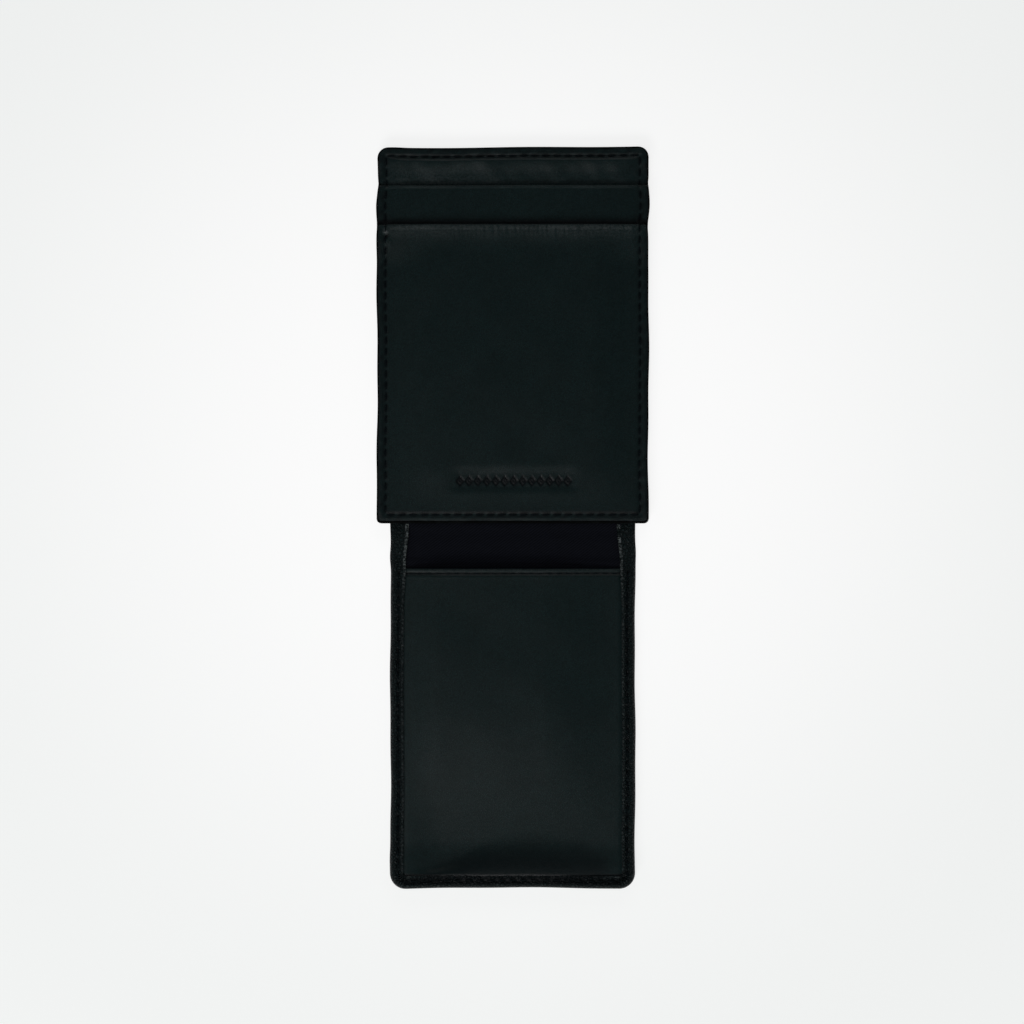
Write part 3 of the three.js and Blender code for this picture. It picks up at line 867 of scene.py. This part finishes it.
def turned_profile(path, breaks):
    """The leather's edge turned over, as a C: from the outer face round the edge, in over the top and back.

    Outside it is half an ellipse TURN_DEEP deep, inside a flatter one. The turned part is TURN_THIN thick
    and pressed down along the stitches. Pleats run across it where the path turns a corner. Painted light
    goes
    with it: painted shade round the edge, at the stitches and towards the lower end; painted highlights on
    the pleats' crests and along the tip by as much as breaks(x, y) says.
    """
    y = path[:, 1]
    low = flap_under(0, y)[:, None]
    high, width = turn_height(y)[:, None], turn_width(y)[:, None]
    middle, reach = (low + high) / 2, (high - low) / 2
    t = np.linspace(-np.pi / 2, np.pi / 2, ARC)[None]
    one = np.ones_like(low)
    flat = TURN_DEEP + np.linspace(0.04, 0.97, FLAT)[None] * (width - TURN_DEEP)
    inset = np.concatenate(
        [
            COVER_INSET * one, 2.0 * one, TURN_DEEP * (1 - np.cos(t)) * one, flat,
            width + 0.02, width + 0.03, width - 0.04,
            flat[:, ::-1], TURN_DEEP - 0.55 * np.cos(t[:, ::-1]) * one, COVER_INSET * one,
        ], 1,
    )
    corner = ((np.abs(path[:, 2]) > 0.02) & (np.abs(path[:, 3]) > 0.02))[:, None]
    angle = np.arctan2(path[:, 3], path[:, 2])[:, None]
    pleat = corner * np.cos(angle * 24) * ease(0.6, 2.2, flat) * 0.16
    sewn = ease(MOUTH + 1, MOUTH - 0.5, y)[:, None]
    stitch_row = bell(flat, FLAP_INSET, 0.38) * sewn
    lower_end = ease(FLAP_END + 4, FLAP_END + 2, y)[:, None]
    knob = 0.07 * ripple(path[:, :1] * 1.0 + flat, y[:, None], 2.2, 11) * ease(0.3, 1.6, flat)
    pressed = high - 0.26 * stitch_row + pleat + knob - 0.12 * lower_end * bell(flat, 2.6, 0.9)
    curl = high + (0.05 + 0.1 * ease(MOUTH - 6, MOUTH + 4, y)[:, None]) * one
    height = np.concatenate(
        [
            low, low, middle + reach * np.sin(t), pressed, curl - 0.05, curl - 0.18, curl - TURN_THIN,
            pressed[:, ::-1] - TURN_THIN, middle + (reach - 0.5) * np.sin(t[:, ::-1]), low + 0.76,
        ], 1,
    )
    across = 2 + ARC  # the first profile point of the turned part
    tip = slice(across + FLAT - 4, across + FLAT + 3)
    painted_light = np.zeros(inset.shape)
    # painted shade round the leather's outer edge
    painted_light[:, 4:12] = -0.9
    holes = 0.45 + 0.55 * np.cos(2 * np.pi * y / PITCH)[:, None]
    crests = corner * np.clip(np.cos(angle * 24), 0, 1) ** 2
    # painted highlights on the corner pleats' crests, painted shade in the stitch row and towards the lower
    # end
    painted_light[:, across:across + FLAT] = 1.4 * crests - np.maximum(holes * stitch_row, 0.7 * lower_end)
    # painted highlight along the tip, stronger towards the mouth; painted shade instead near the lower end,
    # away from the sides
    inner = lower_end[:, 0] * ease(FLAP_X - 5, FLAP_X - 12, np.abs(path[:, 0]))
    bright = (0.22 + 0.78 * ease(MOUTH - 6, MOUTH + 1, y)) * breaks(path[:, 0], y)
    painted_light[:, tip] = (bright * (1 - inner) - 0.6 * inner)[:, None]
    return inset, height, painted_light


upper_leather = ply(
    "flap_upper_leather", (FLAP_X - COVER_INSET, SPINE_MID, tail_end), (0, 0), flap_top,
    GRAINED, under=flap_under, step=0.5, square=("low", "sides"),
)


def spine_lining_top(x, y):
    """Twill over the spine's leather, slightly uneven between its ends."""
    uneven = 0.05 * ripple(x, y, 5, 21) * ease(-1.5, -4, y) * ease(SPINE_MID, SPINE_MID + 2, y)
    return flap_top(x, y) + 0.02 + LINING + uneven


upper_twill = ply(
    "spine_twill_lining", (FLAP_X - LINING_INSET, SPINE_MID, CARD_LOW + 5.0), (0, 0), spine_lining_top,
    TWILL, thick=LINING, step=0.45, square=("low",),
)
upper_edges = []
for side, label in ((-1, "left"), (1, "right")):
    ys = np.linspace(tail_end - 3, SPINE_MID, 60) if side < 0 else np.linspace(SPINE_MID, tail_end - 3, 60)
    path = np.column_stack([np.full(60, side * FLAP_X), ys, np.full(60, -side), np.zeros(60)])
    # breaks: how much painted highlight each stretch of the tip gets
    breaks = (lambda x, y: 0.7 + 0.3 * np.sin(y * 2.3)) if side < 0 else (
        lambda x, y: ease(-0.1, 0.5, np.sin(y * 1.9))
    )
    inset, height, painted_light = turned_profile(path, breaks)
    upper_edges.append(
        carry(f"spine_turned_leather_{label}", path, inset, height, TURNED_PAINTED_SHEEN, False, painted_light)
    )

lower_leather = ply(
    "pocket_cover_leather", (FLAP_X - COVER_INSET, FLAP_END + COVER_INSET, SPINE_MID),
    (FLAP_RADIUS - COVER_INSET, 0), flap_top, GRAINED, under=flap_under, step=0.6,
    square=("low", "high", "sides"), zone=(None, (FOLD_B - 3, SPINE_MID)),
)


def pocket_lining_top(x, y):
    """Twill: low in the spine, over the board inside the pocket."""
    return flap_top(x, y) + 0.02 + LINING + 0.62 * ease(FOLD_B + 1.2, FOLD_B - 0.4, y)


lower_twill = ply(
    "pocket_twill_lining", (FLAP_X - LINING_INSET, FLAP_END + LINING_INSET, SPINE_MID), (2.5, 0),
    pocket_lining_top,
    TWILL, thick=LINING, step=0.55, square=("high",),
)
band_path = rectangle_path(FLAP_X, FLAP_END, 0, FLAP_RADIUS, 0, 0.45, 28, start_high=SPINE_MID)
# the last argument: how much painted highlight each stretch of the tip gets
inset, height, painted_light = turned_profile(band_path, lambda x, y: 0.3 + 0.7 * np.sin(1.1 * x + 2.7 * y) ** 2)
turned_band = carry(
    "pocket_turned_leather", band_path, inset, height, TURNED_PAINTED_SHEEN, False, painted_light
)


POCKET_LIP = MOUTH + 0.4  # the folded mouth leans this far over the spine


def pocket_top(x, y):
    """Pocket's leather: full below the mouth, easing to a valley before the lower end, sewn at three sides.

    Below its folded mouth a groove holds the hem's stitches.
    """
    side, drop, rise = FLAP_X - np.abs(x), POCKET_LIP - y, y - FLAP_END
    left = ease(14, -24, x)
    full = 1.35 + 0.35 * ease(-20, -44, y) - (1.8 + 0.3 * left) * ease(-48, -84, y)
    arch = 9 * ease(0, -22, x) + 5 * ease(14, 27, x)
    full = full + (0.65 + 0.25 * left) * ease(-81 - arch, -92, y)
    crown = 0.18 * ease(3.0, 4.4, side) + ease(3.0, 13.0 + 12 * ease(0, 10, x), side) * (full - 0.18)
    hem = 0.24 * bell(drop, 0.2, 0.5) - 0.23 * bell(drop, HEM_DROP, 0.34) + 0.06 * bell(drop, 2.0, 0.5)
    hem = hem * ease(2.5, 4.5, side)
    fold = 0.45 * ease(4.4, 3.6, side) * ease(MOUTH - 7, MOUTH - 1, y)
    end = 0.3 * ease(3.5, 3.1, rise)
    return turn_height(y) - 0.5 + crown + hem - 0.3 * fold - end + 0.05 * crown * ripple(x, y, 22, 31)


def pocket_painted_light(x, y):
    """Painted highlight along the mouth's fold; painted shade in the hem's groove, in the lower end's dip
    and at its very end.
    """
    dip = ease(-81 - 6 * ease(2, -24, x) - 5 * ease(14, 27, x), -89, y) * ease(-26, -12, x) * ease(28, 22, x)
    end = ease(4.3, 3.5, y - FLAP_END)
    hem = 0.4 * bell(POCKET_LIP - y, 0.4, 0.4) - bell(POCKET_LIP - y, HEM_DROP, 0.3)
    return hem - np.maximum(0.6 * dip, end)


pocket_sheet = ply(
    "pocket_leather", (FLAP_X - 1.1, FLAP_END + 1.1, POCKET_LIP), (FLAP_RADIUS - 1.1, 0), pocket_top, INNER,
    thick=0.8, step=0.62, zone=(None, (POCKET_LIP - 4, POCKET_LIP)),
    painted_light=pocket_painted_light,
)


def band_surface(x, y):
    """Where the stitches lie on the turned edge: just under its top."""
    return turn_height(y) - 0.02


pocket_stitches = stitches(
    "pocket_seam_stitches",
    np.concatenate([
        seam_rows(FLAP_AREA, FLAP_INSET, band_surface, 1, True, MOUTH - 0.4),
        seam_rows(FLAP_AREA, FLAP_INSET, lambda x, y: 0 * x + 0.14, -1, True, MOUTH - 0.4),
    ]),
    THREAD, long=2.0, wide=0.28,
)
hem_count, hem_pitch = run_of(2 * (FLAP_X - 4.4), HEM_PITCH)
hem_x = -(FLAP_X - 4.4) + hem_pitch * (np.arange(hem_count) + 0.5)
hem_y = np.full(hem_count, POCKET_LIP - HEM_DROP)
hem_stitches = stitches(
    "pocket_hem_stitches",
    np.column_stack([hem_x, hem_y, pocket_top(hem_x, hem_y) + 0.06, *np.tile([[1], [0], [1]], hem_count)]),
    THREAD, long=1.75, wide=0.27,
)

# ---------------------------------------------------------------- what moves with what
for piece, nodes in (
    (card_cover, ["card_cover"]),
    (back_sheet, ["card_back_panel"]),
    (facing_sheet, ["slot_a_facing", "slot_a_margin_left", "slot_a_margin_right"]),
    (slot_b_sheet, ["slot_b_panel", "slot_b_margin_bottom", "slot_b_margin_left", "slot_b_margin_right"]),
    (slot_lining, ["slot_a_lining", "slot_a_lining_hem"]),
    (card_board, ["card_board"]),
    (lower_edge, []),
    (upper_edge, []),
    (card_stitches, ["card_seam_thread"]),
):
    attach(piece, "card_half")
    if nodes:
        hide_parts(*nodes)
for piece, nodes in (
    (pocket_sheet, ["pocket_panel", "pocket_margin_bottom", "pocket_margin_left", "pocket_margin_right"]),
    (pocket_stitches, ["pocket_seam_thread"]),
    (hem_stitches, ["pocket_hem_thread"]),
):
    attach(piece, "pocket_half")
    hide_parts(*nodes)
for piece in (upper_leather, upper_twill, *upper_edges):
    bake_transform(piece)
for piece in (lower_leather, lower_twill, turned_band):
    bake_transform(piece)
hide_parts("flap_tail", "spine_cover")
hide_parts("spine_lining")
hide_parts("spine_turned_edge_left")
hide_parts("spine_turned_edge_right")
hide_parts("pocket_cover")
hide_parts("pocket_lining")
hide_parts("turned_edge_end", "turned_edge_left", "turned_edge_right")
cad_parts["pocket_board"].material_slots[0].material = BOARD

# ---------------------------------------------------------------- floor, light and camera
FRAME_WIDTH = 264.5 * MM
EYE = Vector((-0.2 * MM, 1.45 * MM, 0.55))
SUBJECT_Z = 1.2 * MM


def floor_finish():
    """Matt white paper with a painted glow, so that shadows stay faint: the glow is a painted pool of light,
    brightest a little towards +Y and fading outwards, and the paper's own colour fades with it.
    """
    r = Recipe("floor_paper")
    place = r.node("TexCoord", {}, {}, "Object")
    centred = r.node("VectorMath", {"operation": "SUBTRACT"}, {0: place, 1: (0.0, 0.025, 0.0)})
    away = r.node("VectorMath", {"operation": "LENGTH"}, {0: centred}, "Value")
    # painted pool of light: 0 at its centre, 1 from 0.18 m out
    fade = r.step(away, 0.03, 0.18)
    grain = r.noise(place, 0.0015, 2.0)
    return r.finish(
        bump=grain,
        depth=0.01,
        Base_Color=r.mix(fade, (0.30, 0.30, 0.30), (0.27, 0.275, 0.272)),
        Roughness=0.9 + 0.05 * grain,
        Emission_Color=r.mix(fade, (1.0, 1.0, 1.0), (0.888, 0.902, 0.895)),
        Emission_Strength=0.84,
        Specular_IOR_Level=0.1,
    )


mesh = bpy.data.meshes.new("floor")
corners = np.array([[-2, -2], [2, -2], [2, 2], [-2, 2]])
mesh.from_pydata(np.column_stack([corners, np.full(4, -0.00003)]).tolist(), [], [[0, 1, 2, 3]])
mesh.materials.append(floor_finish())
floor = bpy.data.objects.new("floor", mesh)
bpy.context.scene.collection.objects.link(floor)


def softbox(name, place, wide, high, power):
    """A rectangular soft light aimed at the wallet."""
    light = bpy.data.lights.new(name, "AREA")
    light.shape, light.size, light.size_y, light.energy = "RECTANGLE", wide, high, power
    lamp = bpy.data.objects.new(name, light)
    lamp.location = place
    lamp.rotation_euler = (-Vector(place)).to_track_quat("-Z", "Y").to_euler()
    bpy.context.scene.collection.objects.link(lamp)


softbox("key", (-0.27, -0.76, 0.6), 0.6, 0.35, 4.0)
softbox("overhead_glow", (-0.16, -0.38, 0.95), 0.22, 0.22, 0.62)
softbox("far_fill", (0.1, 1.0, 0.6), 0.9, 0.4, 1.9)
softbox("left_fill", (-1.0, 0.05, 0.45), 0.4, 0.9, 0.8)
softbox("right_fill", (1.0, 0.05, 0.45), 0.4, 0.9, 0.7)

world = bpy.data.worlds.new("studio")
world.use_nodes = True
world.node_tree.nodes["Background"].inputs["Color"].default_value = (0.9, 0.95, 1.0, 1.0)
world.node_tree.nodes["Background"].inputs["Strength"].default_value = 0.04
bpy.context.scene.world = world
bpy.context.scene.view_settings.view_transform = "Standard"

camera_data = bpy.data.cameras.new("camera")
camera_data.sensor_width = 36.0
camera_data.lens = 36.0 * (EYE.z - SUBJECT_Z) / FRAME_WIDTH
camera_data.clip_start, camera_data.clip_end = 0.01, 10.0
camera = bpy.data.objects.new("camera", camera_data)
camera.location = EYE
bpy.context.scene.collection.objects.link(camera)
bpy.context.scene.camera = camera
